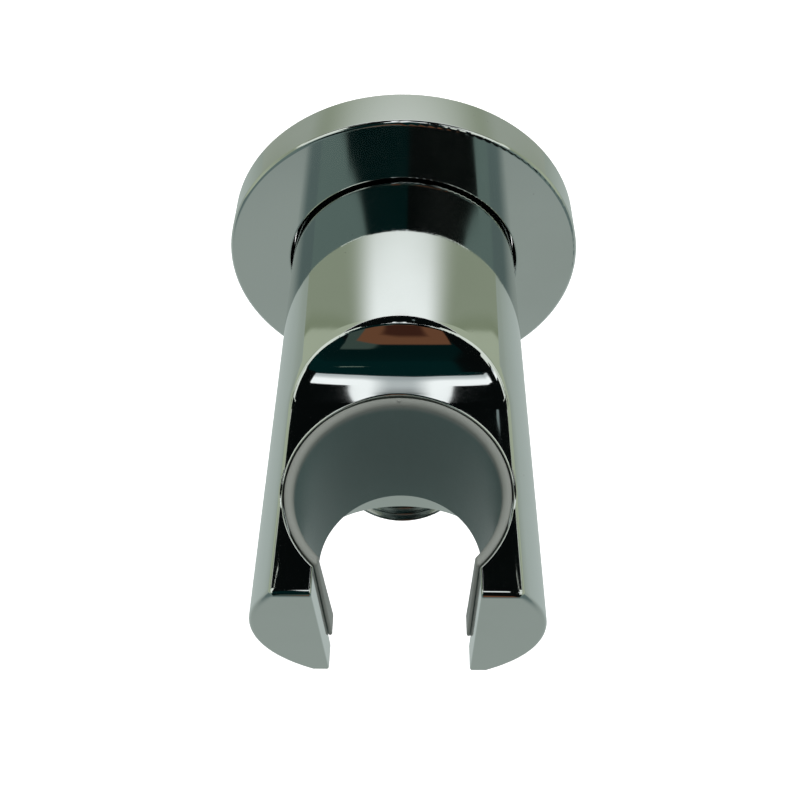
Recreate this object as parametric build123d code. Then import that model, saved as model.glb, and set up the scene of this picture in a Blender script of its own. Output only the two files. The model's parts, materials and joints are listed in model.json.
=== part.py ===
"""Wall outlet for a hand shower: a chromed body with a cradle for the handset at its front.

The water comes out of the wall through a nipple, turns down inside the body and leaves through
a threaded spigot behind the cradle, where a check valve keeps it from running back.
The wall is the plane Y = 0, the body's axis runs out from it along -Y, and +Z is up.
All sizes are in millimetres. What is named "from the wall" is a distance along -Y.
"""
import os
from math import sqrt

from build123d import *

# Clearances
RUNNING = 0.05  # radial, between a shaft and its hole
SEATED = 0.03  # between a seal and the walls that squeeze it
THREADED = 0.04  # radial, between the plain forms of a screw and its hole

# Body: a round bar, level
BODY_R = 16.0
BODY_FRONT = 61.0  # front face, from the wall
BODY_BACK = 1.0  # back end, from the wall
FRONT_EDGE_R = 0.7
BACK_CHAMFER = 0.5

# Cradle: the front of the bar cut flat above and below, each cut running out in a cove
TOP_LAND = 0.14  # flat left beside the bore, above
BOTTOM_LAND = 2.01  # flat left beside the slot, below
COVE_R = 8.0
TOP_COVE = 38.4  # where the upper cove leaves its flat, from the wall
BOTTOM_COVE = 47.5
CRADLE_EDGE_R = 0.3  # rounding along the cuts
CRADLE_Y = 48.8  # centre of the cradle's bore, from the wall
CRADLE_R = 12.35
SLOT_W = 16.8
OPENING_EDGE_R = 0.25  # rounding of the bore's mouth and the slot

# Liner of the cradle: a conical C that the handset wedges into
LINER_GAP = 0.15  # radial, inside the cradle's bore
LINER_RIM = 1.0  # wall at the rim
LINER_FOOT_R = 10.2  # inside, at its lower end
LINER_DROP = 0.1  # rim under the flat
LINER_LIFT = 0.67  # of its foot above where the bore breaks out of the bar's sides
LINER_PROUD = 0.4  # each end past the slot's wall
LINER_EDGE_R = 0.25
LINER_LAND = 0.1  # flat left on the rim, between its edge and its soft inner lip
GATE_R = 0.22  # mark of the mould's gate, on the rim at the back
GATE_H = 0.08

# Flange that covers the hole in the wall, loose on the body
FLANGE_R = 25.0
FLANGE_T = 5.8
FLANGE_GAP = 0.4  # radial, round the body
FLANGE_EDGE_R = 0.5
FLANGE_HOLE_EDGE_R = 0.25
FLANGE_RING_D = 1.8  # cord of the ring that grips the body
GASKET_IN_R = 20.4
GASKET_OUT_R = 23.6
GASKET_T = 1.2

# Nipple between the pipe in the wall and the body
PIPE_THREAD_R = 10.48  # G 1/2, over the crests
WALL_THREAD_L = 12.0
WALL_THREAD_START = 2.0  # behind the face of the wall
THREAD_CHAMFER = 1.0
BARREL_R = 9.0
BARREL_END = 12.6  # from the wall
NIPPLE_BORE_R = 4.6
NIPPLE_KEY = 10.0  # across the flats of its hexagon
NIPPLE_KEY_DEPTH = 10.0
BARREL_CHAMFER = 0.4
SOCKET_CHAMFER = 0.6
BARREL_RING_D = 1.64
FRONT_RING_Y = 10.7  # from the wall
REAR_RING_Y = 7.6
GROOVE_SPARE = 0.5  # a groove's width over its ring's cord

# Grub screw that locks the body on the nipple, under the flange
GRUB_Y = 4.0  # from the wall
GRUB_R = 2.0
GRUB_RECESS = 1.7  # its foot inside the body's skin
GRUB_KEY = 2.0
GRUB_KEY_DEPTH = 2.5
GRUB_POINT_R = 0.7
LOCK_GROOVE_DEPTH = 0.9
LOCK_GAP = 0.2  # between the point and its groove

# Waterway inside the body
SOCKET_END = 13.3  # end of the nipple's socket, from the wall
CHANNEL_R = 7.5
CHANNEL_END = 32.0

# Spigot for the hose, screwed up into the body
SPIGOT_Y = 24.0  # from the wall
SPIGOT_END = 25.5  # under the axis
SPIGOT_NECK_R = 10.15
SHOULDER_RECESS = 1.06  # inside the body's skin, at the shoulder's sides
STUB_L = 6.5
STUB_R = 9.0
PORT_SPARE = 1.0  # between the stub's top and the end of its hole
HOSE_THREAD_L = 8.0
SPIGOT_RING_D = 1.4
SPIGOT_KEY = 12.0
SPIGOT_KEY_DEPTH = 6.0

# Check valve, a cartridge in the spigot
VALVE_BORE_R = 7.5
VALVE_H = 13.0
VALVE_SHELL = 1.4  # wall of its housing
VALVE_RING_D = 1.08
VALVE_RING_DROP = 1.7  # middle of its ring, under the top
SEAT_R = 4.2
SEAT_DROP = 3.1  # sealing face, under the housing's top
GUIDE_H = 2.2
GUIDE_WALL = 1.0
GUIDE_STEP = 0.4  # recess that the guide snaps into
HUB_R = 3.1
SPOKE_W = 1.2
SPOKES = 3
STEM_R = 1.05
NOSE_CHAMFER = 0.5
STEM_SPARE = 0.3  # stem past the guide
HEAD_R = 5.3
HEAD_T = 0.9
SEAL_T = 0.9
SEAL_IN_R = 3.5
NOSE_R = 3.9
NOSE_H = 0.8
SPRING_R = 2.65  # middle of the wire
SPRING_WIRE_D = 0.4
SPRING_TURNS = 5
SPRING_BOSS_H = 0.5

# Places that follow from the sizes above. Heights of the flats and the spigot are from the axis
TOP_FLAT = sqrt(BODY_R**2 - (CRADLE_R + TOP_LAND) ** 2)
BOTTOM_FLAT = sqrt(BODY_R**2 - (SLOT_W / 2 + BOTTOM_LAND) ** 2)
SLOT_HALF = SLOT_W / 2
LINER_OUT_R = CRADLE_R - LINER_GAP
LINER_TOP = TOP_FLAT - LINER_DROP
LINER_LIP_R = LINER_RIM - LINER_EDGE_R - LINER_LAND
LINER_HALF = SLOT_HALF - LINER_PROUD
LINER_FOOT = LINER_LIFT - sqrt(BODY_R**2 - CRADLE_R**2)
FLANGE_HOLE_R = BODY_R + FLANGE_GAP
WALL_THREAD_END = WALL_THREAD_START + WALL_THREAD_L
SOCKET_R = BARREL_R + RUNNING
BARREL_RING_R = SOCKET_R - SEATED - BARREL_RING_D / 2
BARREL_FLOOR_R = BARREL_RING_R - BARREL_RING_D / 2 - SEATED
LOCK_FLOOR_R = BARREL_R - LOCK_GROOVE_DEPTH
SPIGOT_HOLE_R = PIPE_THREAD_R + THREADED
SPIGOT_SHOULDER = sqrt(BODY_R**2 - SPIGOT_HOLE_R**2) - SHOULDER_RECESS
SPIGOT_TOP = SPIGOT_SHOULDER - STUB_L
PORT_R = STUB_R + THREADED
SPIGOT_FLOOR_R = STUB_R - SPIGOT_RING_D / 2
SPIGOT_RING_R = SPIGOT_FLOOR_R + SEATED + SPIGOT_RING_D / 2
SPIGOT_POCKET_R = SPIGOT_RING_R + SPIGOT_RING_D / 2 + SEATED
SPIGOT_POCKET_H = SPIGOT_RING_D + 2 * SEATED
VALVE_FOOT = SPIGOT_END - SPIGOT_KEY_DEPTH  # under the axis
VALVE_TOP = VALVE_FOOT - VALVE_H
VALVE_R = VALVE_BORE_R - RUNNING
VALVE_RING_R = VALVE_BORE_R - SEATED - VALVE_RING_D / 2
VALVE_FLOOR_R = VALVE_RING_R - VALVE_RING_D / 2 - SEATED
SHELL_R = VALVE_R - VALVE_SHELL
GUIDE_HOLE_R = SHELL_R + GUIDE_STEP
SEAT_Z = -VALVE_TOP - SEAT_DROP
GUIDE_TOP = -VALVE_FOOT + GUIDE_H
SEAL_TOP = SEAT_Z - SEATED
HEAD_TOP = SEAL_TOP - SEAL_T
HEAD_FOOT = HEAD_TOP - HEAD_T
SPRING_BOSS_R = SPRING_R - SPRING_WIRE_D / 2 - RUNNING


def save(shape, node):
    """Name one piece and write it."""
    shape.label = node
    export_step(shape, f"parts/{node}.step")


def turned(corners, axis=Axis.Z):
    """A turned form. Its corners are (radius, place along the axis)."""
    plane = Plane.XY if axis == Axis.Y else Plane.XZ
    return revolve(plane * make_face(Polyline(*corners, close=True)), axis)


def level(near, far, radius):
    """A level round form, its ends near and far from the wall."""
    return turned([(0, -near), (radius, -near), (radius, -far), (0, -far)], Axis.Y)


def upright(foot, top, radius, from_wall=0.0):
    """An upright round form between two heights."""
    form = turned([(0, foot), (radius, foot), (radius, top), (0, top)])
    return Pos(0, -from_wall, 0) * form


def tube(foot, top, inner_r, outer_r):
    """An upright tube between two heights."""
    return turned([(inner_r, foot), (outer_r, foot), (outer_r, top), (inner_r, top)])


def hexagon(flats, foot, top):
    """An upright hexagonal form between two heights."""
    return Pos(0, 0, foot) * extrude(RegularPolygon(flats / sqrt(3), 6), top - foot)


def seal_ring(mid_r, cord_d):
    """A ring of round cord, lying flat round Z."""
    return revolve(Plane.XZ * Pos(mid_r, 0) * Circle(cord_d / 2), Axis.Z)


def to_body_axis(form, from_wall=0.0):
    """Lay an upright form along the body's axis, its +Z towards the wall."""
    return Pos(0, -from_wall, 0) * Rot(-90, 0, 0) * form


def over_spigot(form):
    """Bring a form from the Z axis to the spigot's axis."""
    return Pos(0, -SPIGOT_Y, 0) * form


def cradle_cut(flat, cove_start, side):
    """What a flat and its cove take off the bar: above it for side 1, below it for side -1."""
    ahead, clear = BODY_FRONT + BODY_R, flat + 2 * COVE_R
    centre_y, centre_z = -cove_start, side * (flat + COVE_R)
    slant = COVE_R * sqrt(0.5)
    flat_end = (centre_y, side * flat)
    cove_middle = (centre_y + slant, centre_z - side * slant)
    cove_end = (centre_y + COVE_R, centre_z)
    outline = [
        Line((-ahead, side * flat), flat_end),
        ThreePointArc(flat_end, cove_middle, cove_end),
        Polyline(cove_end, (cove_end[0], side * clear), (-ahead, side * clear), (-ahead, side * flat)),
    ]
    return extrude(Plane.YZ * make_face(outline), BODY_R + 1, both=True)


def cut_bar():
    """The bar with its two cuts and rounded edges, still solid."""
    bar = level(BODY_BACK, BODY_FRONT, BODY_R)
    bar = chamfer(bar.edges().sort_by(Axis.Y)[-1], BACK_CHAMFER)
    bar -= cradle_cut(TOP_FLAT, TOP_COVE, 1)
    bar -= cradle_cut(BOTTOM_FLAT, BOTTOM_COVE, -1)

    def along_cut(edge):
        middle = edge @ 0.5
        on_skin = abs(sqrt(middle.X**2 + middle.Z**2) - BODY_R) < 0.01
        return on_skin and -BODY_FRONT < middle.Y < -TOP_COVE + COVE_R

    bar = fillet(bar.edges().filter_by(along_cut), CRADLE_EDGE_R)
    return fillet(bar.edges().group_by(Axis.Y)[0], FRONT_EDGE_R)


def holder_body():
    """The body: the cut bar with the cradle's bore and slot, and the waterway."""
    body = cut_bar()
    body -= upright(-BODY_R, BODY_R, CRADLE_R, CRADLE_Y)
    slot_l = BODY_FRONT - CRADLE_Y + 1
    body -= Pos(0, -CRADLE_Y - slot_l / 2, 0) * Box(SLOT_W, slot_l, 3 * BODY_R)

    def at_opening(edge):
        middle = edge @ 0.5
        at_slot = abs(abs(middle.X) - SLOT_HALF) < 0.01 and middle.Y < -CRADLE_Y
        reach = sqrt(middle.X**2 + (middle.Y + CRADLE_Y) ** 2)
        at_mouth = abs(reach - CRADLE_R) < 0.01 and middle.Z > TOP_FLAT - CRADLE_EDGE_R
        return at_slot or at_mouth

    body = fillet(body.edges().filter_by(at_opening), OPENING_EDGE_R)
    return body - waterway() - grub_hole()


def waterway():
    """What the nipple, the water and the spigot need inside the body."""
    mouth = BODY_BACK + SOCKET_CHAMFER
    lead_in = turned(
        [(0, 0), (SOCKET_R + mouth, 0), (SOCKET_R, -mouth), (0, -mouth)], Axis.Y
    )
    socket = level(0, SOCKET_END, SOCKET_R)
    channel = level(SOCKET_END, CHANNEL_END, CHANNEL_R)
    port = upright(-SPIGOT_SHOULDER, -SPIGOT_TOP + PORT_SPARE, PORT_R)
    ring_pocket = upright(-SPIGOT_SHOULDER, -SPIGOT_SHOULDER + SPIGOT_POCKET_H, SPIGOT_POCKET_R)
    neck_hole = upright(-BODY_R, -SPIGOT_SHOULDER, SPIGOT_HOLE_R)
    return lead_in + socket + channel + over_spigot(port + ring_pocket + neck_hole)


def grub_hole():
    """The tapped hole from under the body into the nipple's socket."""
    return upright(-BODY_R, -LOCK_FLOOR_R, GRUB_R + THREADED, GRUB_Y)


def cradle_liner():
    """The conical C of plastic inside the cradle's bore, with a soft inner lip."""
    lip = (LINER_OUT_R - LINER_RIM, LINER_TOP)
    foot = [(LINER_FOOT_R, LINER_FOOT), (LINER_OUT_R, LINER_FOOT)]
    wall = make_face(Polyline(*foot, (LINER_OUT_R, LINER_TOP), lip, close=True))
    wall = fillet(wall.vertices().sort_by_distance((*lip, 0))[0], LINER_LIP_R)
    liner = revolve(Plane.XZ * wall, Axis.Z)
    gap_l = 2 * LINER_OUT_R
    liner -= Pos(0, -gap_l / 2, 0) * Box(2 * LINER_HALF, gap_l, 4 * BODY_R)

    def sharp(edge):
        middle = edge @ 0.5
        return abs(middle.X) > 0.01 or abs(middle.Y - LINER_OUT_R) < 0.01 or middle.Z < LINER_FOOT + 0.01

    liner = fillet(liner.edges().filter_by(sharp), LINER_EDGE_R)
    gate_y = LINER_OUT_R - LINER_EDGE_R - GATE_R
    liner += Pos(0, gate_y, 0) * upright(LINER_TOP - LINER_EDGE_R, LINER_TOP + GATE_H, GATE_R)
    return Pos(0, -CRADLE_Y, 0) * liner


def wall_flange():
    """The round cover plate, with a groove for the ring in its hole and a seat for the gasket."""
    flange = turned(
        [(FLANGE_HOLE_R, 0), (FLANGE_R, 0), (FLANGE_R, -FLANGE_T), (FLANGE_HOLE_R, -FLANGE_T)], Axis.Y
    )
    front = flange.edges().group_by(Axis.Y)[0].sort_by(SortBy.RADIUS)
    flange = fillet(front[-1], FLANGE_EDGE_R)
    front = flange.edges().group_by(Axis.Y)[0].sort_by(SortBy.RADIUS)
    flange = fillet(front[0], FLANGE_HOLE_EDGE_R)
    ring_width = FLANGE_RING_D + GROOVE_SPARE
    flange -= to_body_axis(
        tube(-ring_width / 2, ring_width / 2, 0, BODY_R + FLANGE_RING_D + 3 * SEATED), FLANGE_T / 2
    )
    return flange - to_body_axis(tube(-GASKET_T, 1, GASKET_IN_R, GASKET_OUT_R))


def flange_o_ring():
    """The ring in the flange's hole that grips the body."""
    return to_body_axis(seal_ring(BODY_R + 2 * SEATED + FLANGE_RING_D / 2, FLANGE_RING_D), FLANGE_T / 2)


def flange_gasket():
    """The flat seal between the flange and the wall."""
    return to_body_axis(tube(-GASKET_T, 0, GASKET_IN_R + RUNNING, GASKET_OUT_R - RUNNING))


def wall_nipple():
    """The threaded tube that joins the pipe in the wall to the body."""
    nipple = turned(
        [
            (0, -BARREL_END),
            (BARREL_R - BARREL_CHAMFER, -BARREL_END),
            (BARREL_R, -BARREL_END + BARREL_CHAMFER),
            (BARREL_R, WALL_THREAD_START),
            (PIPE_THREAD_R, WALL_THREAD_START + PIPE_THREAD_R - BARREL_R),
            (PIPE_THREAD_R, WALL_THREAD_END - THREAD_CHAMFER),
            (PIPE_THREAD_R - THREAD_CHAMFER, WALL_THREAD_END),
            (0, WALL_THREAD_END),
        ],
        Axis.Y,
    )
    nipple -= level(-WALL_THREAD_END, BARREL_END, NIPPLE_BORE_R)
    nipple -= to_body_axis(hexagon(NIPPLE_KEY, 0, NIPPLE_KEY_DEPTH), BARREL_END)
    ring_width = BARREL_RING_D + GROOVE_SPARE
    for from_wall in (FRONT_RING_Y, REAR_RING_Y):
        nipple -= to_body_axis(
            tube(-ring_width / 2, ring_width / 2, BARREL_FLOOR_R, BARREL_R + 1), from_wall
        )
    return nipple - lock_groove()


def lock_groove():
    """The V round the nipple that the grub screw's point bears in."""
    floor_half = GRUB_POINT_R + LOCK_GAP
    top_half = floor_half + LOCK_GROOVE_DEPTH
    return turned(
        [
            (LOCK_FLOOR_R, -GRUB_Y - floor_half),
            (BARREL_R, -GRUB_Y - top_half),
            (BARREL_R, -GRUB_Y + top_half),
            (LOCK_FLOOR_R, -GRUB_Y + floor_half),
        ],
        Axis.Y,
    )


def nipple_o_ring(from_wall):
    """One of the two rings that seal the nipple in its socket."""
    return to_body_axis(seal_ring(BARREL_RING_R, BARREL_RING_D), from_wall)


def grub_screw():
    """The screw with a cone point and a hexagon socket, pointing up."""
    point = -LOCK_FLOOR_R - LOCK_GAP
    foot = GRUB_RECESS - BODY_R
    screw = turned(
        [
            (0, foot),
            (GRUB_R, foot),
            (GRUB_R, point - GRUB_R + GRUB_POINT_R),
            (GRUB_POINT_R, point),
            (0, point),
        ]
    )
    screw -= hexagon(GRUB_KEY, foot, foot + GRUB_KEY_DEPTH)
    return Pos(0, -GRUB_Y, 0) * screw


def hose_spigot():
    """The threaded tube that the hose screws on to, with its stub in the body."""
    undercut = SPIGOT_RING_D + GROOVE_SPARE
    thread_start = -SPIGOT_END + HOSE_THREAD_L
    spigot = turned(
        [
            (0, -SPIGOT_TOP),
            (STUB_R, -SPIGOT_TOP),
            (STUB_R, -SPIGOT_SHOULDER + undercut),
            (SPIGOT_FLOOR_R, -SPIGOT_SHOULDER + undercut),
            (SPIGOT_FLOOR_R, -SPIGOT_SHOULDER),
            (SPIGOT_NECK_R, -SPIGOT_SHOULDER),
            (SPIGOT_NECK_R, thread_start),
            (PIPE_THREAD_R, thread_start - PIPE_THREAD_R + SPIGOT_NECK_R),
            (PIPE_THREAD_R, -SPIGOT_END + THREAD_CHAMFER),
            (PIPE_THREAD_R - THREAD_CHAMFER, -SPIGOT_END),
            (0, -SPIGOT_END),
        ]
    )
    spigot -= upright(-VALVE_FOOT, -SPIGOT_TOP, VALVE_BORE_R)
    spigot -= hexagon(SPIGOT_KEY, -SPIGOT_END, -VALVE_FOOT)
    return over_spigot(spigot)


def spigot_o_ring():
    """The ring at the root of the stub that seals the spigot in the body."""
    middle = -SPIGOT_SHOULDER + SPIGOT_POCKET_H / 2
    return over_spigot(Pos(0, 0, middle) * seal_ring(SPIGOT_RING_R, SPIGOT_RING_D))


def valve_housing():
    """The cartridge of the check valve, with its seat near the top."""
    housing = turned(
        [
            (SEAT_R, -VALVE_TOP),
            (VALVE_R, -VALVE_TOP),
            (VALVE_R, -VALVE_FOOT),
            (GUIDE_HOLE_R, -VALVE_FOOT),
            (GUIDE_HOLE_R, GUIDE_TOP),
            (SHELL_R, GUIDE_TOP),
            (SHELL_R, SEAT_Z),
            (SEAT_R, SEAT_Z),
        ]
    )
    half = (VALVE_RING_D + GROOVE_SPARE) / 2
    middle = -VALVE_TOP - VALVE_RING_DROP
    return over_spigot(housing - tube(middle - half, middle + half, VALVE_FLOOR_R, VALVE_BORE_R + 1))


def valve_o_ring():
    """The ring that seals the cartridge in the spigot."""
    return over_spigot(Pos(0, 0, -VALVE_TOP - VALVE_RING_DROP) * seal_ring(VALVE_RING_R, VALVE_RING_D))


def valve_guide():
    """The spoked ring at the cartridge's foot that guides the stem and carries the spring."""
    top = GUIDE_TOP - SEATED
    rim = tube(-VALVE_FOOT, top, SHELL_R - GUIDE_WALL, GUIDE_HOLE_R - RUNNING)
    hub = tube(-VALVE_FOOT, top, 0, HUB_R) + tube(top, top + SPRING_BOSS_H, 0, SPRING_BOSS_R)
    spoke_l = GUIDE_HOLE_R - RUNNING - GUIDE_WALL / 2
    height = top + VALVE_FOOT
    spoke = Pos(spoke_l / 2, 0, top - height / 2) * Box(spoke_l, SPOKE_W, height)
    guide = rim + hub
    for turn in range(SPOKES):
        guide += Rot(0, 0, turn * 360 / SPOKES) * spoke
    return over_spigot(guide - upright(-VALVE_FOOT, top + SPRING_BOSS_H, STEM_R + RUNNING))


def valve_poppet():
    """The poppet: nose, neck for its seal, head, spring boss and stem."""
    neck_r = SEAL_IN_R - SEATED
    nose_top = SEAT_Z + NOSE_H
    return over_spigot(
        turned(
            [
                (0, nose_top),
                (NOSE_R - NOSE_CHAMFER, nose_top),
                (NOSE_R, nose_top - NOSE_CHAMFER),
                (NOSE_R, SEAT_Z),
                (neck_r, SEAT_Z),
                (neck_r, HEAD_TOP),
                (HEAD_R, HEAD_TOP),
                (HEAD_R, HEAD_FOOT),
                (SPRING_BOSS_R, HEAD_FOOT),
                (SPRING_BOSS_R, HEAD_FOOT - SPRING_BOSS_H),
                (STEM_R, HEAD_FOOT - SPRING_BOSS_H),
                (STEM_R, -VALVE_FOOT - STEM_SPARE),
                (0, -VALVE_FOOT - STEM_SPARE),
            ]
        )
    )


def poppet_seal():
    """The flat ring on the poppet that closes against the seat."""
    return over_spigot(tube(HEAD_TOP, SEAL_TOP, SEAL_IN_R, HEAD_R - RUNNING))


def valve_spring():
    """The coil spring between the guide and the poppet's head, its ends ground flat."""
    foot = GUIDE_TOP - SEATED
    length = HEAD_FOOT - foot
    pitch = length / SPRING_TURNS
    coil = Helix(pitch, length, SPRING_R)
    wire = sweep(Plane(coil @ 0, z_dir=coil % 0) * Circle(SPRING_WIRE_D / 2), coil, is_frenet=True)
    inside = Pos(0, 0, length / 2) * Box(4 * SPRING_R, 4 * SPRING_R, length - 2 * SEATED)
    return over_spigot(Pos(0, 0, foot) * (wire & inside))


def build():
    """Every piece of the outlet, by name."""
    return {
        "holder_body": holder_body(),
        "cradle_liner": cradle_liner(),
        "wall_flange": wall_flange(),
        "flange_o_ring": flange_o_ring(),
        "flange_gasket": flange_gasket(),
        "wall_nipple": wall_nipple(),
        "nipple_o_ring_front": nipple_o_ring(FRONT_RING_Y),
        "nipple_o_ring_rear": nipple_o_ring(REAR_RING_Y),
        "grub_screw": grub_screw(),
        "hose_spigot": hose_spigot(),
        "spigot_o_ring": spigot_o_ring(),
        "valve_housing": valve_housing(),
        "valve_o_ring": valve_o_ring(),
        "valve_guide": valve_guide(),
        "valve_poppet": valve_poppet(),
        "poppet_seal": poppet_seal(),
        "valve_spring": valve_spring(),
    }


if __name__ == "__main__":
    os.makedirs("parts", exist_ok=True)
    for node, piece in build().items():
        save(piece, node)
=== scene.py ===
"""Looks of the wall outlet with its cradle for a hand shower.

The chromed pieces keep the shapes of the frame. Threads are cut here into copies of the nipple,
the spigot and the grub screw, and the spring is replaced by a smoothed copy. Sizes
are in millimetres, and MM turns them into metres.
"""

import json
import math

import bpy
from mathutils import Matrix, Vector


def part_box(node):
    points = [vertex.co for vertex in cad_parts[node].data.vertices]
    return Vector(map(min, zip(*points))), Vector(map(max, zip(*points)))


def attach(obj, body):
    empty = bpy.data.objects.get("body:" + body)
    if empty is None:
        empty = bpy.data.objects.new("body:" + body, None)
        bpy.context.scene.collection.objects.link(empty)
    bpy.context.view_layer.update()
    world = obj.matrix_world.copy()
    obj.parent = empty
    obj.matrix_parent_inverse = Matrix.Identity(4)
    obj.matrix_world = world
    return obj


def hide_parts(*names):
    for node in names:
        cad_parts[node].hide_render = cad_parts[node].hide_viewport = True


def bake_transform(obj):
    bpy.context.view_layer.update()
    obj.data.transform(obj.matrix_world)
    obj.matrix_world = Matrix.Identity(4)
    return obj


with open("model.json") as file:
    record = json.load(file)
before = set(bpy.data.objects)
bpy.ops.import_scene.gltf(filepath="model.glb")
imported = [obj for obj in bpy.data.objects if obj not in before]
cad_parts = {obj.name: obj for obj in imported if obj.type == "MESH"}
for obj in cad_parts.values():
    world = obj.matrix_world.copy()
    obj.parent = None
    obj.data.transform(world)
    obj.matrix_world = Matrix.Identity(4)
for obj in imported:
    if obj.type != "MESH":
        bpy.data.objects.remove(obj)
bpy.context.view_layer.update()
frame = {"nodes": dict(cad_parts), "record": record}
NODES = frame["nodes"]
MM = 0.001

# Camera, where the photograph was taken from. Its turns are in degrees
CAMERA_PLACE = (2.01, -95.01, 88.73)
CAMERA_TURN = -1.9
CAMERA_DIP = 53.64
CAMERA_ROLL = -1.41
CAMERA_LENS = 38.21
SENSOR = 36.0

# Floor, world and soft lamp, and the middle of what the chrome mirrors
FLOOR_Z = -120.0
FLOOR_SIZE = 6000.0
FLOOR_WHITE = 0.9
FLOOR_LIFT = 0.66  # light that the floor gives where it is seen
WORLD_LEVEL = 0.42  # light of the world where it isn't seen
LAMP_PLACE = Vector((120.0, 200.0, 500.0))
LAMP_AIM = Vector((0.0, -30.0, 0.0))
LAMP_SIZE = 500.0
LAMP_POWER = 2.0  # watts
STAGE_MIDDLE = Vector((0.0, -45.0, 10.0))  # the cradle, which the cards stand around

# Threads: the pipe thread G 1/2, and the grub screw's M4
PIPE_PITCH = 1.814
PIPE_DEPTH = 1.162
PIPE_THREAD_R = 10.48
HOSE_THREAD_L = 8.0
HOSE_THREAD_LEAD = 1.4  # turns under the spigot's foot
WALL_THREAD_L = 13.0
WALL_THREAD_FOOT = 1.0  # under the cone that the wall thread starts from
GRUB_PITCH = 0.7
GRUB_DEPTH = 0.43
GRUB_R = 2.0

# Tool that cuts the threads
TOOL_CLEAR = 0.6  # its depth outside the crests
TOOL_HALF = 0.49  # half its height, over the pitch
TOOL_SKIN = 0.02  # under the blank's skin at the crests
TOOL_CUTS = 15  # along one wave
TOOL_STEPS = 96  # round one turn

# Meshes
MERGE_SPAN = 0.002  # between corners that are joined
THREAD_ANGLE = 35.0  # degrees, over which a threaded piece keeps an edge sharp
COIL_ANGLE = 60.0

# Forms of the body that its finish follows
BODY_R = 16.0
COVE_R = 8.0
COVE_Y = -38.4  # where the upper cove leaves its flat
COVE_Z = 18.0  # centre of the cove's round
ARM_Z = 12.0  # over the flat of the arms, under the crest

# Where the liner is painted paler, as painted light: under its rim, and beside the slot in front
RIM_PAINTED_LIGHT = (1.5, 0.2)  # under the rim, from nothing to full
SLOT_PAINTED_LIGHT = 8.35  # from the middle of the slot
SLOT_START_Y = -52.0

# Roll-off of the body's polished edges: its width, and the radius that it starts with
WIDE_ROLL = 1.2
WIDE_ROLL_R = 9.0
TIGHT_ROLL = 0.4
TIGHT_ROLL_R = 1.2
TIGHT_FADE = 2.0  # over the arms, where the tight roll runs out
UPPER_FADE = 4.0  # over the axis, where both rolls start

# Fine lines along the cove
BRUSHED_DEPTH = 0.0012
BRUSHED_SCALE = (0.1, 3.0, 3.0)
COVE_SKIN = 0.1  # outside the cove's round, where the lines still count

# Chrome plating, clear and under smudges, and the dust on it
CHROME_CLEAR = (0.76, 0.785, 0.775)
CHROME_DULL = (0.70, 0.72, 0.705)
SMUDGE_SHARE = 0.35  # of the dull colour in a smudge
SMUDGE_ROUGH = 0.03  # roughness that a smudge adds
WAVE_DEPTH = 0.003
STREAK_DEPTH = 0.00025
STREAK_ROUGH = 0.02
DUST = (0.12, 0.12, 0.12)
DUST_ROUGH = 0.3
DUST_DULL = 0.6  # metallic shine that a speck takes away
DUST_SCALE = 0.6  # cells per millimetre, with a speck in some
DUST_R = 0.035  # over the width of a cell
DUST_SHARE = 0.55  # noise over which a speck is kept

# Grain of moulded plastic
GRAIN = 0.25
GRAIN_DEPTH = 0.002
GRAIN_ROUGH = 0.12

# Rubber: its relief over the size of its grain, and the paler bloom on it
RUBBER_DEPTH = 0.03
BLOOM_SHADE = 1.6
BLOOM_LIFT = 0.01
BLOOM_ROUGH = 0.1

# Turned and drawn metal: its lines, with their depth over their pitch, and its tarnish
LINE_WOBBLE = 0.6
LINE_DEPTH = 0.008
LINE_ROUGH = 0.03
TARNISH_SHADE = 0.72
TARNISH_SHARE = 0.6
TARNISH_ROUGH = 0.12


def select_only(piece):
    """Leave one object selected and active."""
    bpy.ops.object.select_all(action="DESELECT")
    piece.select_set(True)
    bpy.context.view_layer.objects.active = piece


class Wire:
    """A value that runs through a finish. Arithmetic on it adds Math nodes."""

    def __init__(self, finish, socket):
        self.finish = finish
        self.socket = socket

    def math(self, operation, *others):
        return self.finish.math(operation, self, *others)

    def __add__(self, other):
        return self.math("ADD", other)

    __radd__ = __add__

    def __sub__(self, other):
        return self.math("SUBTRACT", other)

    def __rsub__(self, other):
        return self.finish.math("SUBTRACT", other, self)

    def __mul__(self, other):
        return self.math("MULTIPLY", other)

    __rmul__ = __mul__

    def __truediv__(self, other):
        return self.math("DIVIDE", other)

    def __lt__(self, other):
        return self.math("LESS_THAN", other)

    def __gt__(self, other):
        return self.math("GREATER_THAN", other)

    def __abs__(self):
        return self.math("ABSOLUTE")

    def root(self):
        return self.math("SQRT")

    def sine(self):
        return self.math("SINE")

    def at_least(self, other):
        return self.math("MAXIMUM", other)

    def at_most(self, other):
        return self.math("MINIMUM", other)

    def between(self, low, high):
        """0 under low, 1 over high, and a soft step between them."""
        settings = {"interpolation_type": "SMOOTHSTEP"}
        return self.finish.add("ShaderNodeMapRange", settings, self, low, high)


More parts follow.
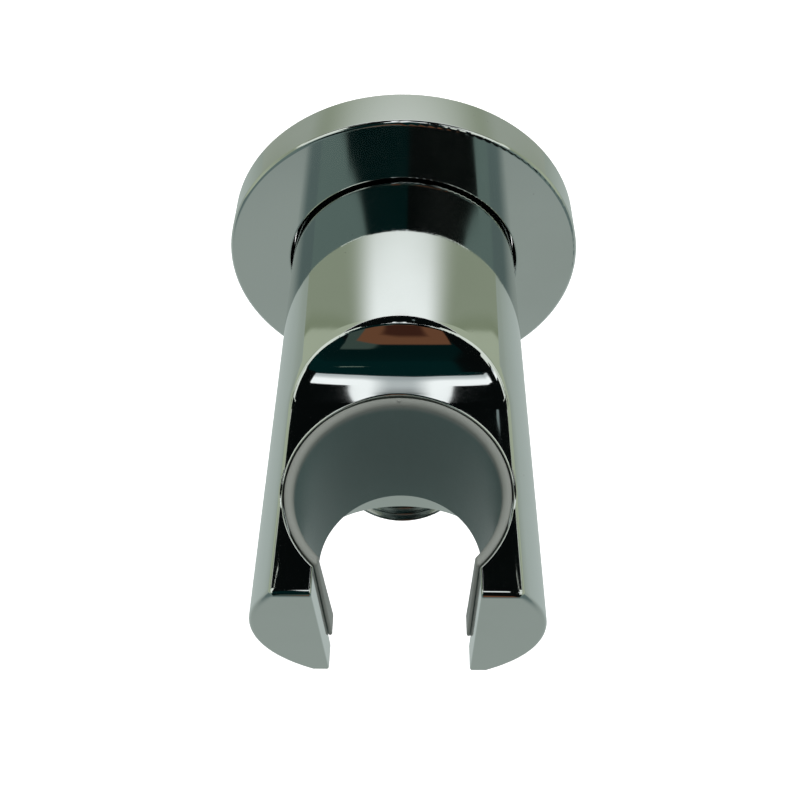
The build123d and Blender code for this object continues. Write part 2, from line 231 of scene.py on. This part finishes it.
class Finish:
    """A material, or the world, built from nodes."""

    def __init__(self, tree):
        self.tree = tree
        tree.nodes.clear()

    def add(self, kind, settings, *values, out=0, **named):
        """Add a node with its settings, then the values or wires of its inputs."""
        node = self.tree.nodes.new(kind)
        for name, value in settings.items():
            setattr(node, name, value)
        inputs = list(enumerate(values))
        inputs += [(name.replace("_", " "), value) for name, value in named.items()]
        for key, value in inputs:
            if isinstance(value, Wire):
                self.tree.links.new(value.socket, node.inputs[key])
            elif value is not None:
                node.inputs[key].default_value = value
        if out is None:
            return [Wire(self, output) for output in node.outputs]
        return Wire(self, node.outputs[out])

    def math(self, operation, *values):
        return self.add("ShaderNodeMath", {"operation": operation}, *values)

    def place(self, scale=(1.0, 1.0, 1.0), shift=(0.0, 0.0, 0.0)):
        """Places on the object in millimetres, scaled along each axis, then shifted."""
        spot = self.add("ShaderNodeTexCoord", {}, out="Object")
        per_mm = tuple(value / MM for value in scale)
        return self.add("ShaderNodeMapping", {"vector_type": "POINT"}, spot, shift, None, per_mm)

    def parts(self, spot):
        """The x, y and z of a place."""
        return self.add("ShaderNodeSeparateXYZ", {}, spot, out=None)

    def noise(self, spot, scale, detail=2.0, roughness=0.5):
        """Cloudy noise around 0.5. Its scale is in clouds per unit of the place."""
        return self.add(
            "ShaderNodeTexNoise", {}, Vector=spot, Scale=scale, Detail=detail, Roughness=roughness
        )

    def blend_colours(self, factor, first, second):
        """First where the factor is 0, second where it is 1."""
        ends = [value if isinstance(value, Wire) else coloured(value) for value in (first, second)]
        unused = (None,) * 5
        return self.add("ShaderNodeMix", {"data_type": "RGBA"}, factor, *unused, *ends, out=2)

    def bump(self, height_mm):
        """The normal of a surface raised by a height."""
        return self.add("ShaderNodeBump", {}, Strength=1.0, Distance=MM, Height=height_mm)

    def surface(self, shader):
        self.add("ShaderNodeOutputMaterial", {}, shader, out=None)


def new_finish(name):
    """An empty material and its finish."""
    material = bpy.data.materials.new(name)
    material.use_nodes = True
    return material, Finish(material.node_tree)


def coloured(colour):
    """A colour as a node takes it."""
    return (*colour, 1.0)


def reach(across, along):
    """How far a place is from where both of its coordinates are 0."""
    return (across * across + along * along).root()


def rolled_edge(finish, spot):
    """How the body's skin and its cuts roll off towards the edge between them, from polishing.
    It is gentle over the crest of the cove and tighter along the arms, and each roll drops by
    its width squared over twice its radius. Fine lines run along the cove."""
    x, y, z = finish.parts(spot)
    over_cut = reach((y - COVE_Y).at_least(0.0), z - COVE_Z) - COVE_R
    under_skin = BODY_R - reach(x, z)
    inside = over_cut.at_least(0.0) + under_skin.at_least(0.0)
    wide = (WIDE_ROLL - inside).at_least(0.0)
    tight = (TIGHT_ROLL - inside).at_least(0.0) * (1.0 - z.between(ARM_Z, ARM_Z + TIGHT_FADE))
    above = z.between(0.0, UPPER_FADE)
    roll = (wide * wide / WIDE_ROLL_R + tight * tight / TIGHT_ROLL_R) * above * -0.5
    in_cove = (over_cut < COVE_SKIN) * (y > COVE_Y) * (z < COVE_Z)
    brushed = finish.noise(finish.place(scale=BRUSHED_SCALE), scale=1.0)
    return roll + brushed * in_cove * BRUSHED_DEPTH


def chrome(name, streaks, edges=None, haze=0.03, painted_shade=1.0):
    """Polished chrome plating: faint smudges, polishing streaks and specks of dust.
    Streaks are scaled per axis, haze is the least roughness, and the last argument dims the colour:
    painted shade."""
    material, finish = new_finish(name)
    spot = finish.place()
    smudge = finish.noise(spot, scale=0.06, detail=4.0, roughness=0.6).between(0.45, 0.75)
    wave = finish.noise(spot, scale=0.12, detail=1.0)
    streak = finish.noise(finish.place(scale=streaks), scale=1.0, detail=3.0, roughness=0.6)
    speck_cell = finish.add(
        "ShaderNodeTexVoronoi", {"feature": "F1"}, Vector=spot, Scale=DUST_SCALE, Randomness=1.0
    )
    speck_kind = finish.noise(spot, scale=0.31, detail=1.0)
    speck = (speck_cell < DUST_R) * (speck_kind > DUST_SHARE)
    clear = tuple(value * painted_shade for value in CHROME_CLEAR)
    dull = tuple(value * painted_shade for value in CHROME_DULL)
    tint = finish.blend_colours(smudge * SMUDGE_SHARE, clear, dull)
    base = finish.blend_colours(speck, tint, DUST)
    rough = haze + smudge * SMUDGE_ROUGH + streak * STREAK_ROUGH + speck * DUST_ROUGH
    height = wave * WAVE_DEPTH + streak * STREAK_DEPTH
    if edges:
        height = height + edges(finish, spot)
    shader = finish.add(
        "ShaderNodeBsdfPrincipled",
        {},
        Base_Color=base,
        Metallic=1.0 - speck * DUST_DULL,
        Roughness=rough,
        Normal=finish.bump(height),
    )
    finish.surface(shader)
    return material


def painted_light_edges(finish, spot):
    """How much the liner's rim and its ends beside the slot are painted paler: painted light."""
    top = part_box("cradle_liner")[1].z / MM
    x, y, z = finish.parts(spot)
    rim = z.between(*(top - depth for depth in RIM_PAINTED_LIGHT))
    ends = (abs(x) < SLOT_PAINTED_LIGHT) * (y < SLOT_START_Y)
    return rim.at_least(ends)


def moulded(name, dark, pale, roughness, painted_light=None):
    """Moulded plastic with a satin grain and slow flow marks. Painted light is a place and its paler
    colour.
    """
    material, finish = new_finish(name)
    spot = finish.place()
    flow = finish.noise(spot, scale=0.09, detail=3.0, roughness=0.55)
    grain = finish.noise(spot, scale=1.0 / GRAIN, roughness=0.6)
    colour = finish.blend_colours(flow, dark, pale)
    if painted_light:
        where, painted_lit_colour = painted_light
        colour = finish.blend_colours(where(finish, spot), colour, painted_lit_colour)
    shader = finish.add(
        "ShaderNodeBsdfPrincipled",
        {},
        Base_Color=colour,
        Roughness=roughness + (grain - 0.5) * GRAIN_ROUGH,
        Normal=finish.bump(grain * GRAIN_DEPTH),
    )
    finish.surface(shader)
    return material


def rubber(name, colour, grain_mm, roughness):
    """Moulded rubber, with a bloom that pales it in patches."""
    material, finish = new_finish(name)
    spot = finish.place()
    bloom = finish.noise(spot, scale=0.4, detail=3.0, roughness=0.6).between(0.4, 0.8)
    grain = finish.noise(spot, scale=1.0 / grain_mm, detail=3.0, roughness=0.6)
    paler = tuple(value * BLOOM_SHADE + BLOOM_LIFT for value in colour)
    shader = finish.add(
        "ShaderNodeBsdfPrincipled",
        {},
        Base_Color=finish.blend_colours(bloom, colour, paler),
        Roughness=roughness + bloom * BLOOM_ROUGH,
        Normal=finish.bump(grain * grain_mm * RUBBER_DEPTH),
    )
    finish.surface(shader)
    return material


def machined(name, colour, along, pitch_mm, roughness):
    """Turned or drawn metal, with fine lines that repeat along one axis, and tarnish in patches."""
    material, finish = new_finish(name)
    spot = finish.place()
    wobble = finish.noise(spot, scale=0.3)
    turns = finish.parts(spot)["xyz".index(along)] / pitch_mm + wobble * LINE_WOBBLE
    lines = (turns * (2 * math.pi)).sine()
    tarnish = finish.noise(spot, scale=0.12, detail=4.0, roughness=0.6).between(0.35, 0.75)
    darker = tuple(value * TARNISH_SHADE for value in colour)
    shader = finish.add(
        "ShaderNodeBsdfPrincipled",
        {},
        Base_Color=finish.blend_colours(tarnish * TARNISH_SHARE, colour, darker),
        Metallic=1.0,
        Roughness=roughness + tarnish * TARNISH_ROUGH + lines * LINE_ROUGH,
        Normal=finish.bump(lines * pitch_mm * LINE_DEPTH),
    )
    finish.surface(shader)
    return material


FINISHES = {
    "chrome_body": chrome("polished chrome, body", streaks=(0.12, 2.5, 2.5), edges=rolled_edge),
    "chrome_flange": chrome("polished chrome, flange", streaks=(0.3, 1.0, 0.3), haze=0.06),
    # painted shade: the spigot's chrome is dimmed to 0.6, for its thread in shade under the cradle
    "chrome_spigot": chrome("polished chrome, spigot", streaks=(0.6, 0.6, 4.0), haze=0.16, painted_shade=0.6),
    "liner_plastic": moulded(
        "grey satin liner",
        dark=(0.075, 0.13, 0.124),
        pale=(0.088, 0.148, 0.142),
        roughness=0.38,
        # painted light: the rim and the ends beside the slot are painted paler
        painted_light=(painted_light_edges, (0.25, 0.27, 0.245)),
    ),
    "black_rubber": rubber("black O-ring rubber", (0.018, 0.018, 0.018), grain_mm=0.3, roughness=0.45),
    "gasket_rubber": rubber("foam rubber gasket", (0.035, 0.035, 0.036), grain_mm=0.6, roughness=0.8),
    "plain_brass": machined("turned brass", (0.72, 0.53, 0.25), "y", pitch_mm=0.22, roughness=0.22),
    "screw_steel": machined(
        "machined stainless steel", (0.56, 0.56, 0.54), "z", pitch_mm=0.12, roughness=0.28
    ),
    "valve_plastic": moulded(
        "off-white valve plastic", dark=(0.78, 0.78, 0.73), pale=(0.84, 0.84, 0.8), roughness=0.38
    ),
    "poppet_plastic": moulded(
        "blue poppet plastic", dark=(0.03, 0.10, 0.34), pale=(0.045, 0.13, 0.40), roughness=0.35
    ),
    "spring_steel": machined("drawn spring wire", (0.58, 0.58, 0.56), "z", pitch_mm=0.1, roughness=0.25),
}


def give_finish(piece, slot):
    """Put one finish on the whole piece."""
    piece.data.materials.clear()
    piece.data.materials.append(FINISHES[slot])


def finish_frame():
    """Give every piece of the frame the finish of its slot."""
    for part in frame["record"]["subparts"]:
        give_finish(NODES[part["node"]], part["material_slot"])


def merged_copy(node, name):
    """A copy of a frame piece with its loose triangles joined."""
    piece = NODES[node].copy()
    piece.data = NODES[node].data.copy()
    piece.name = piece.data.name = name
    bpy.context.scene.collection.objects.link(piece)
    piece.parent = None
    select_only(piece)
    bpy.ops.mesh.customdata_custom_splitnormals_clear()
    bpy.ops.object.mode_set(mode="EDIT")
    bpy.ops.mesh.select_all(action="SELECT")
    bpy.ops.mesh.remove_doubles(threshold=MERGE_SPAN * MM)
    bpy.ops.object.mode_set(mode="OBJECT")
    return piece


def thread_tool(start, length, crest_r, pitch, depth):
    """The tool that cuts a thread: one wave of it, swept round and up the Z axis.
    Its sizes are in millimetres."""
    start, length, crest_r, pitch, depth = (v * MM for v in (start, length, crest_r, pitch, depth))
    outer_r = crest_r + TOOL_CLEAR * MM
    middle_r = (crest_r + outer_r) / 2
    half = TOOL_HALF * pitch
    bpy.ops.object.select_all(action="DESELECT")
    bpy.ops.mesh.primitive_plane_add(size=1.0)
    tool = bpy.context.object
    corners = ((crest_r, -half), (outer_r, -half), (crest_r, half), (outer_r, half))
    for corner, (radius, height) in zip(tool.data.vertices, corners):
        corner.co = (radius, 0.0, height)
    bpy.ops.object.mode_set(mode="EDIT")
    bpy.ops.mesh.select_all(action="DESELECT")
    bpy.ops.mesh.select_mode(type="EDGE")
    bpy.ops.object.mode_set(mode="OBJECT")
    for edge in tool.data.edges:
        edge.select = all(tool.data.vertices[v].co.x < middle_r for v in edge.vertices)
    bpy.ops.object.mode_set(mode="EDIT")
    bpy.ops.mesh.subdivide(number_cuts=TOOL_CUTS)
    bpy.ops.mesh.select_all(action="SELECT")
    bpy.ops.mesh.delete(type="ONLY_FACE")
    bpy.ops.object.mode_set(mode="OBJECT")
    for vertex in tool.data.vertices:
        if vertex.co.x < middle_r:
            wave = (1 + math.cos(2 * math.pi * vertex.co.z / pitch)) / 2
            vertex.co.x = crest_r - TOOL_SKIN * MM - depth * wave
    sweep = tool.modifiers.new("sweep", "SCREW")
    sweep.axis = "Z"
    sweep.screw_offset = pitch
    sweep.iterations = math.ceil(length / pitch) + 1
    sweep.steps = sweep.render_steps = TOOL_STEPS
    sweep.use_smooth_shade = True
    bpy.ops.object.modifier_apply(modifier="sweep")
    for vertex in tool.data.vertices:
        vertex.co.z += start
    bpy.ops.object.mode_set(mode="EDIT")
    bpy.ops.mesh.select_all(action="SELECT")
    bpy.ops.mesh.fill_holes(sides=0)
    bpy.ops.mesh.normals_make_consistent(inside=False)
    bpy.ops.object.mode_set(mode="OBJECT")
    return tool


def cut_thread(blank, tool):
    """Cut the blank with the tool, then throw the tool away."""
    select_only(blank)
    cut = blank.modifiers.new("thread", "BOOLEAN")
    cut.operation = "DIFFERENCE"
    cut.solver = "EXACT"
    cut.use_self = True
    cut.object = tool
    bpy.ops.object.modifier_apply(modifier="thread")
    bpy.data.objects.remove(tool)
    select_only(blank)
    bpy.ops.object.shade_smooth_by_angle(angle=math.radians(THREAD_ANGLE))


def threaded_spigot():
    """The spigot with its thread for the hose."""
    low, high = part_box("hose_spigot")
    piece = merged_copy("hose_spigot", "hose_spigot_threaded")
    start = low.z / MM - HOSE_THREAD_LEAD * PIPE_PITCH
    tool = thread_tool(start, HOSE_THREAD_L, PIPE_THREAD_R, PIPE_PITCH, PIPE_DEPTH)
    tool.data.transform(Matrix.Translation((0.0, (low.y + high.y) / 2, 0.0)))
    cut_thread(piece, tool)
    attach(piece, "outlet")
    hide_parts("hose_spigot")


def threaded_nipple():
    """The nipple with its thread for the pipe in the wall."""
    piece = merged_copy("wall_nipple", "wall_nipple_threaded")
    tool = thread_tool(WALL_THREAD_FOOT, WALL_THREAD_L, PIPE_THREAD_R, PIPE_PITCH, PIPE_DEPTH)
    tool.data.transform(Matrix.Rotation(math.radians(-90), 4, "X"))
    cut_thread(piece, tool)
    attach(piece, "outlet")
    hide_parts("wall_nipple")


def threaded_grub_screw():
    """The grub screw with its thread up to the cone of its point."""
    low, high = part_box("grub_screw")
    piece = merged_copy("grub_screw", "grub_screw_threaded")
    length = (high.z - low.z) / MM
    tool = thread_tool(low.z / MM - GRUB_PITCH, length, GRUB_R, GRUB_PITCH, GRUB_DEPTH)
    tool.data.transform(Matrix.Translation((0.0, (low.y + high.y) / 2, 0.0)))
    cut_thread(piece, tool)
    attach(piece, "outlet")
    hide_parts("grub_screw")


def closing_spring():
    """The valve's spring: a copy with its corners joined and smooth shading, in place of the frame's."""
    piece = merged_copy("valve_spring", "valve_spring_coil")
    bpy.ops.object.shade_smooth_by_angle(angle=math.radians(COIL_ANGLE))
    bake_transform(piece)
    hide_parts("valve_spring")


def set_camera():
    """The camera at the photograph's place, turn and lens."""
    turn, dip, roll = (math.radians(v) for v in (CAMERA_TURN, CAMERA_DIP, CAMERA_ROLL))
    ahead = Vector((math.sin(turn) * math.cos(dip), math.cos(turn) * math.cos(dip), -math.sin(dip)))
    level = Vector((math.cos(turn), -math.sin(turn), 0.0))
    above = level.cross(ahead)
    right = level * math.cos(roll) + above * math.sin(roll)
    up = above * math.cos(roll) - level * math.sin(roll)
    axes = Matrix((right, up, -ahead)).transposed().to_4x4()
    lens = bpy.data.cameras.new("camera")
    lens.lens = CAMERA_LENS
    lens.sensor_width = SENSOR
    lens.clip_start = 1 * MM
    camera = bpy.data.objects.new("camera", lens)
    bpy.context.scene.collection.objects.link(camera)
    camera.matrix_world = Matrix.Translation(Vector(CAMERA_PLACE) * MM) @ axes
    bpy.context.scene.camera = camera


def seen_white(finish):
    """1 for rays that show the background: straight, mirrored or passed through glass."""
    kinds = ("Is Camera Ray", "Is Glossy Ray", "Is Transmission Ray")
    rays = [finish.add("ShaderNodeLightPath", {}, out=kind) for kind in kinds]
    return (rays[0] + rays[1] + rays[2]).at_most(1.0)


def light_world(level):
    """A plain pale world, white where it is seen."""
    world = bpy.data.worlds.new("pale world")
    bpy.context.scene.world = world
    world.use_nodes = True
    finish = Finish(world.node_tree)
    seen = seen_white(finish)
    strength = level + seen * (1.0 - level)
    glow = finish.add("ShaderNodeBackground", {}, coloured((1.0, 1.0, 1.0)), strength)
    finish.add("ShaderNodeOutputWorld", {}, glow, out=None)


def lay_floor():
    """A plain pale floor that keeps the shadow."""
    bpy.ops.object.select_all(action="DESELECT")
    bpy.ops.mesh.primitive_plane_add(size=FLOOR_SIZE * MM, location=(0, 0, FLOOR_Z * MM))
    floor = bpy.context.object
    floor.name = "floor"
    material, finish = new_finish("pale floor")
    matt = finish.add("ShaderNodeBsdfDiffuse", {}, coloured((FLOOR_WHITE,) * 3))
    glow = seen_white(finish) * FLOOR_LIFT
    lift = finish.add("ShaderNodeEmission", {}, coloured((1.0, 1.0, 1.0)), glow)
    finish.surface(finish.add("ShaderNodeAddShader", {}, matt, lift))
    floor.data.materials.append(material)


def card(name, corners, shade):
    """A card that only mirrors see. Corners are in millimetres from the cradle.
    Its shade is a colour, or a function that makes one from the card's x, y and z."""
    bpy.ops.object.select_all(action="DESELECT")
    bpy.ops.mesh.primitive_plane_add(size=1.0)
    sheet = bpy.context.object
    sheet.name = name
    order = (corners[0], corners[1], corners[3], corners[2])  # a plane's corners run in rows
    for vertex, corner in zip(sheet.data.vertices, order):
        vertex.co = (Vector(corner) + STAGE_MIDDLE) * MM
    material, finish = new_finish(name)
    if callable(shade):
        x, y, z = finish.parts(finish.place(shift=tuple(-STAGE_MIDDLE)))
        colour = shade(finish, x, y, z)
    else:
        colour = coloured(shade)
    finish.surface(finish.add("ShaderNodeEmission", {}, colour, 1.0))
    sheet.data.materials.append(material)
    sheet.visible_camera = False
    sheet.visible_diffuse = False
    sheet.visible_shadow = False
    sheet.visible_transmission = False


def flat_card(name, x, y, z, shade):
    """A level card. x and y are (low, high)."""
    card(name, [(x[0], y[0], z), (x[1], y[0], z), (x[1], y[1], z), (x[0], y[1], z)], shade)


def wall_card(name, x, y, z, shade):
    """An upright card facing along Y. x and z are (low, high)."""
    card(name, [(x[0], y, z[0]), (x[1], y, z[0]), (x[1], y, z[1]), (x[0], y, z[1])], shade)


def side_card(name, x, y, z, shade):
    """An upright card facing along X. y and z are (low, high)."""
    card(name, [(x, y[0], z[0]), (x, y[1], z[0]), (x, y[1], z[1]), (x, y[0], z[1])], shade)


# Cards, from the cradle
CARD_EDGE = 900  # as far as the largest ones reach
TABLE_Z = -100
BACK_Y = 400
SIDE_X = 700
ROOM_Y = -402
ROOF_Z = 440
LAMP_Z = 300

# What the cards show, from the cradle. A pair is where a soft step starts and where it ends.
# Table: the glint's middle and reach, and the steps from near to far and towards the room
GLINT_X = -4.0
GLINT_Y = 85.0
GLINT_EDGE = (10.0, 56.0)
TABLE_SPREAD = (20.0, 480.0)
TABLE_FRONT = (-40.0, 30.0)
ROOM_SIDE = (-90.0, -20.0)
ROOM_SIDE_AWAY = (70.0, 230.0)

# Back wall: its window, what is under the window, and the bowed steps to dark and to cream
WINDOW_RISE = (130.0, 430.0)
WINDOW_SIDE = (150.0, 345.0)
UNDER_SIDE = (275.0, 345.0)
UNDER_TOP = (110.0, 175.0)
BOW = 0.0012
BACK_DARK = (425.0, 450.0)
BACK_CREAM = (452.0, 457.0)
SIDE_RISE = (60.0, 400.0)  # side walls, from cream to olive

# Lamp: a bar across, with a notch in its front, longer tips and a stem to the back
LAMP_X = -5.5
BAR_FRONT = -112.0
BAR_BACK = -45.0
FRONT_SLOPE = 0.15
BACK_SLOPE = 0.1
FRONT_EDGE = (-2.0, 4.0)
BACK_EDGE = (-4.0, 2.0)
NOTCH = 16.0
NOTCH_SIDE = (4.0, 34.0)
TIP = 20.0
TIP_SIDE = (30.0, 52.0)
FLARE = 30.0
FLARE_SIDE = (20.0, 60.0)
STEM = 150.0  # how far the lamp reaches back, in its middle
STEM_SIDE = (23.2, 24.8)
BAR_X = 1.2  # middle of the bar between its ends
BAR_END = (54.0, 56.5)
END_SLOPE = 0.03
BAR_LIMIT = 95.0  # right of it the bar isn't cut off

# Lamp: its light, less in the middle and in front, with a shadow where the stem starts
LAMP_RISE = (10.0, 60.0)
LAMP_SIDE = (4.0, 19.0)
FRONT_GLOW = 0.21
MIDDLE_GLOW = 0.2
SHADOW_SIDE = (3.0, 16.0)
SHADOW_RISE = (-15.0, 40.0)
SHADOW_DEPTH = 0.85
LAMP_TEAL_SIDE = (30.0, 38.0)  # from teal to black, in front of the bar

# Room: a dark part that leans to the left and rises at its sides, with teal over it
ROOM_LEAN = 0.35
ROOM_LEAN_Z = 170.0
DARK_LEFT = (-322.0, -292.0)
DARK_RIGHT = (388.0, 400.0)
FOOT_SIDE = (90.0, 250.0)
FOOT_RISE = 72.0
FOOT_Z = -42.0  # foot of the dark part, in its middle
FOOT_EDGE = (-4.0, 4.0)
TEAL_FOOT = (120.0, 150.0)
TEAL_SIDE = (28.0, 36.0)
TEAL_RISE = (250.0, 600.0)  # from a deeper teal to a lighter one
PATCH_Z = 150.0  # under it the room's patches widen
PATCH_SPREAD = 0.0045
CORNER_SQUEEZE = 0.055  # width of a patch's round corner over its height

# Colours that the chrome mirrors
LAMP = (1.12, 1.15, 1.16)
LAMP_DIM = (0.37, 0.41, 0.42)
WINDOW = (1.02, 1.06, 1.05)
OLIVE = (0.265, 0.307, 0.225)
OLIVE_DARK = (0.22, 0.26, 0.175)
OLIVE_PALE = (0.345, 0.385, 0.33)
CREAM = (0.40, 0.45, 0.34)
TABLE_GLINT = (1.0, 1.06, 1.03)
TABLE_NEAR = (0.44, 0.50, 0.48)
TABLE_FAR = (0.32, 0.37, 0.325)
TABLE_MIDDLE = (0.31, 0.355, 0.33)
TABLE_ROOM = (0.12, 0.165, 0.16)
ROOM = (0.14, 0.195, 0.18)
BLACK = (0.002, 0.003, 0.003)
TEAL = (0.001, 0.009, 0.009)
TEAL_LIT = (0.001, 0.014, 0.014)
BROWN = (0.145, 0.062, 0.032)
BROWN_DARK = (0.045, 0.016, 0.010)
GREY_GREEN = (0.045, 0.068, 0.058)
PALE_WEDGE = (0.2, 0.25, 0.25)
PALE_ROOF = (0.8, 0.85, 0.78)
TEAL_SPOT = (0.16, 0.22, 0.18)

# Patches in the room: colour, sides, heights, radius of the corners, and half the blur
PATCHES = (
    (GREY_GREEN, (-58.0, -20.0), (-190.0, 215.0), 11.0, 0.8),
    (BROWN, (-34.0, 36.0), (-400.0, 150.0), 14.0, 0.8),
    (BROWN_DARK, (-20.0, 17.0), (-500.0, 50.0), 15.0, 1.6),
)


def round_patch(x, z, width, height, corner, blur):
    """1 inside a rectangle with round corners, 0 outside it. width and height are (low, high).
    The corners are taller than wide, because the cove mirrors heights squeezed."""
    over = []
    for place, (low, high), squeeze in ((x, width, 1.0), (z, height, CORNER_SQUEEZE)):
        off_middle = abs(place - (low + high) / 2) * squeeze
        over.append((off_middle - ((high - low) / 2 * squeeze - corner)).at_least(0.0))
    return 1.0 - reach(*over).between(corner - blur, corner + blur)


def table_shade(finish, x, y, z):
    """The table shines under the object, pales towards it, and darkens towards the room."""
    away = reach(x, y)
    glint = 1.0 - reach(x - GLINT_X, y - GLINT_Y).between(*GLINT_EDGE)
    lit = finish.blend_colours(away.between(*TABLE_SPREAD), TABLE_NEAR, TABLE_FAR)
    lit = finish.blend_colours(y.between(*TABLE_FRONT), TABLE_MIDDLE, lit)
    room_side = (1.0 - y.between(*ROOM_SIDE)) * away.between(*ROOM_SIDE_AWAY)
    lit = finish.blend_colours(room_side, lit, TABLE_ROOM)
    return finish.blend_colours(glint, lit, TABLE_GLINT)


def back_shade(finish, x, y, z):
    """A window, high up, in an olive wall. It is paler under the window, and cream at the sides."""
    aside = abs(x)
    window = z.between(*WINDOW_RISE) * (1.0 - aside.between(*WINDOW_SIDE))
    up = z.at_least(0.0)
    bowed = aside + up * up * BOW
    wall = finish.blend_colours(bowed.between(*BACK_DARK), OLIVE, OLIVE_DARK)
    wall = finish.blend_colours(bowed.between(*BACK_CREAM), wall, CREAM)
    pale = (1.0 - aside.between(*UNDER_SIDE)) * (1.0 - z.between(*UNDER_TOP))
    wall = finish.blend_colours(pale, wall, OLIVE_PALE)
    return finish.blend_colours(window, wall, WINDOW)


def lamp_shade(finish, x, y, z):
    """A lamp with a bar across and a stem to the back. It is dimmer along its middle."""
    side = abs(x - LAMP_X)
    notch = NOTCH * (1.0 - side.between(*NOTCH_SIDE))
    front = x * FRONT_SLOPE + BAR_FRONT + notch - TIP * side.between(*TIP_SIDE)
    flare = FLARE * (1.0 - side.between(*FLARE_SIDE)) + STEM * (1.0 - side.between(*STEM_SIDE))
    back = x * BACK_SLOPE + BAR_BACK + flare
    ends = (abs(x - BAR_X) - y * END_SLOPE).between(*BAR_END) * (x < BAR_LIMIT)
    lit = (y - front).between(*FRONT_EDGE) * (1.0 - (y - back).between(*BACK_EDGE)) * (1.0 - ends)
    rise = (y - front).between(*LAMP_RISE)
    edge = side.between(*LAMP_SIDE)
    light_here = edge * (FRONT_GLOW + (1.0 - FRONT_GLOW) * rise) + MIDDLE_GLOW * rise
    shadow = (1.0 - side.between(*SHADOW_SIDE)) * y.between(*SHADOW_RISE)
    glow = finish.blend_colours(light_here, LAMP_DIM, LAMP)
    glow = finish.blend_colours(shadow * SHADOW_DEPTH, glow, BLACK)
    teal = (1.0 - x.between(*LAMP_TEAL_SIDE)) * (front > y)
    dark = finish.blend_colours(teal, BLACK, TEAL_LIT)
    return finish.blend_colours(lit, dark, glow)


def side_shade(finish, x, y, z):
    """The walls beside the object: cream below, olive above."""
    return finish.blend_colours(z.between(*SIDE_RISE), CREAM, OLIVE)


def room_shade(finish, x, y, z):
    """The room in front: dark with a teal part, a grey-green patch and a brown one."""
    leaning = x - (z - ROOM_LEAN_Z).at_least(0.0) * ROOM_LEAN
    sides = leaning.between(*DARK_LEFT) * (1.0 - x.between(*DARK_RIGHT))
    foot = abs(x).between(*FOOT_SIDE) * FOOT_RISE + FOOT_Z
    dark = sides * (z - foot).between(*FOOT_EDGE)
    wall = finish.blend_colours(dark, ROOM, BLACK)
    teal = finish.blend_colours(z.between(*TEAL_RISE), TEAL, TEAL_LIT)
    in_teal = dark * z.between(*TEAL_FOOT) * (1.0 - x.between(*TEAL_SIDE))
    wall = finish.blend_colours(in_teal, wall, teal)
    across = x / ((PATCH_Z - z).at_least(0.0) * PATCH_SPREAD + 1.0)
    for colour, *patch in PATCHES:
        wall = finish.blend_colours(round_patch(across, z, *patch), wall, colour)
    return wall


def set_cards():
    """Cards round the object: what its chrome mirrors. The roof's lie a little over each other."""
    all_across = (-CARD_EDGE, CARD_EDGE)
    to_back = (-CARD_EDGE, BACK_Y)
    flat_card("table card", all_across, all_across, TABLE_Z, table_shade)
    wall_card("back card", all_across, BACK_Y, (TABLE_Z, 430), back_shade)
    for side, name in ((-1, "left card"), (1, "right card")):
        side_card(name, side * SIDE_X, to_back, (TABLE_Z, 700), side_shade)
    flat_card("roof card", (-150, 150), to_back, ROOF_Z, BLACK)
    flat_card("dark roof card", (-600, 600), (200, BACK_Y), ROOF_Z - 1, BLACK)
    flat_card("teal roof card", (-300, 33), (ROOM_Y, -120), ROOF_Z - 2, TEAL_LIT)
    flat_card("left roof card", (-CARD_EDGE, -150), to_back, ROOF_Z + 1, PALE_ROOF)
    flat_card("right roof card", (150, CARD_EDGE), to_back, ROOF_Z + 1, PALE_ROOF)
    flat_card("lamp card", (-165, 165), (-140, 130), LAMP_Z, lamp_shade)
    wedge = [(51.5, 215, LAMP_Z), (64, 209, LAMP_Z), (64, 230, LAMP_Z), (52.5, 223, LAMP_Z)]
    card("pale wedge card", wedge, PALE_WEDGE)
    flat_card("pale spot card", (-40, -27), (-203, -195), LAMP_Z, TEAL_SPOT)
    wall_card("room card", (-SIDE_X, SIDE_X), ROOM_Y, (TABLE_Z, 600), room_shade)


def light():
    """One soft lamp above, for the pieces that aren't mirrors."""
    lamp = bpy.data.lights.new("soft lamp", "AREA")
    lamp.shape = "SQUARE"
    lamp.size = LAMP_SIZE * MM
    lamp.energy = LAMP_POWER
    holder = bpy.data.objects.new("soft lamp", lamp)
    bpy.context.scene.collection.objects.link(holder)
    holder.location = LAMP_PLACE * MM
    holder.rotation_euler = (LAMP_AIM - LAMP_PLACE).to_track_quat("-Z", "Y").to_euler()
    holder.visible_glossy = False
    holder.visible_camera = False


finish_frame()
threaded_spigot()
threaded_nipple()
threaded_grub_screw()
closing_spring()
set_camera()
light_world(WORLD_LEVEL)
lay_floor()
set_cards()
light()
bpy.context.scene.view_settings.view_transform = "Standard"
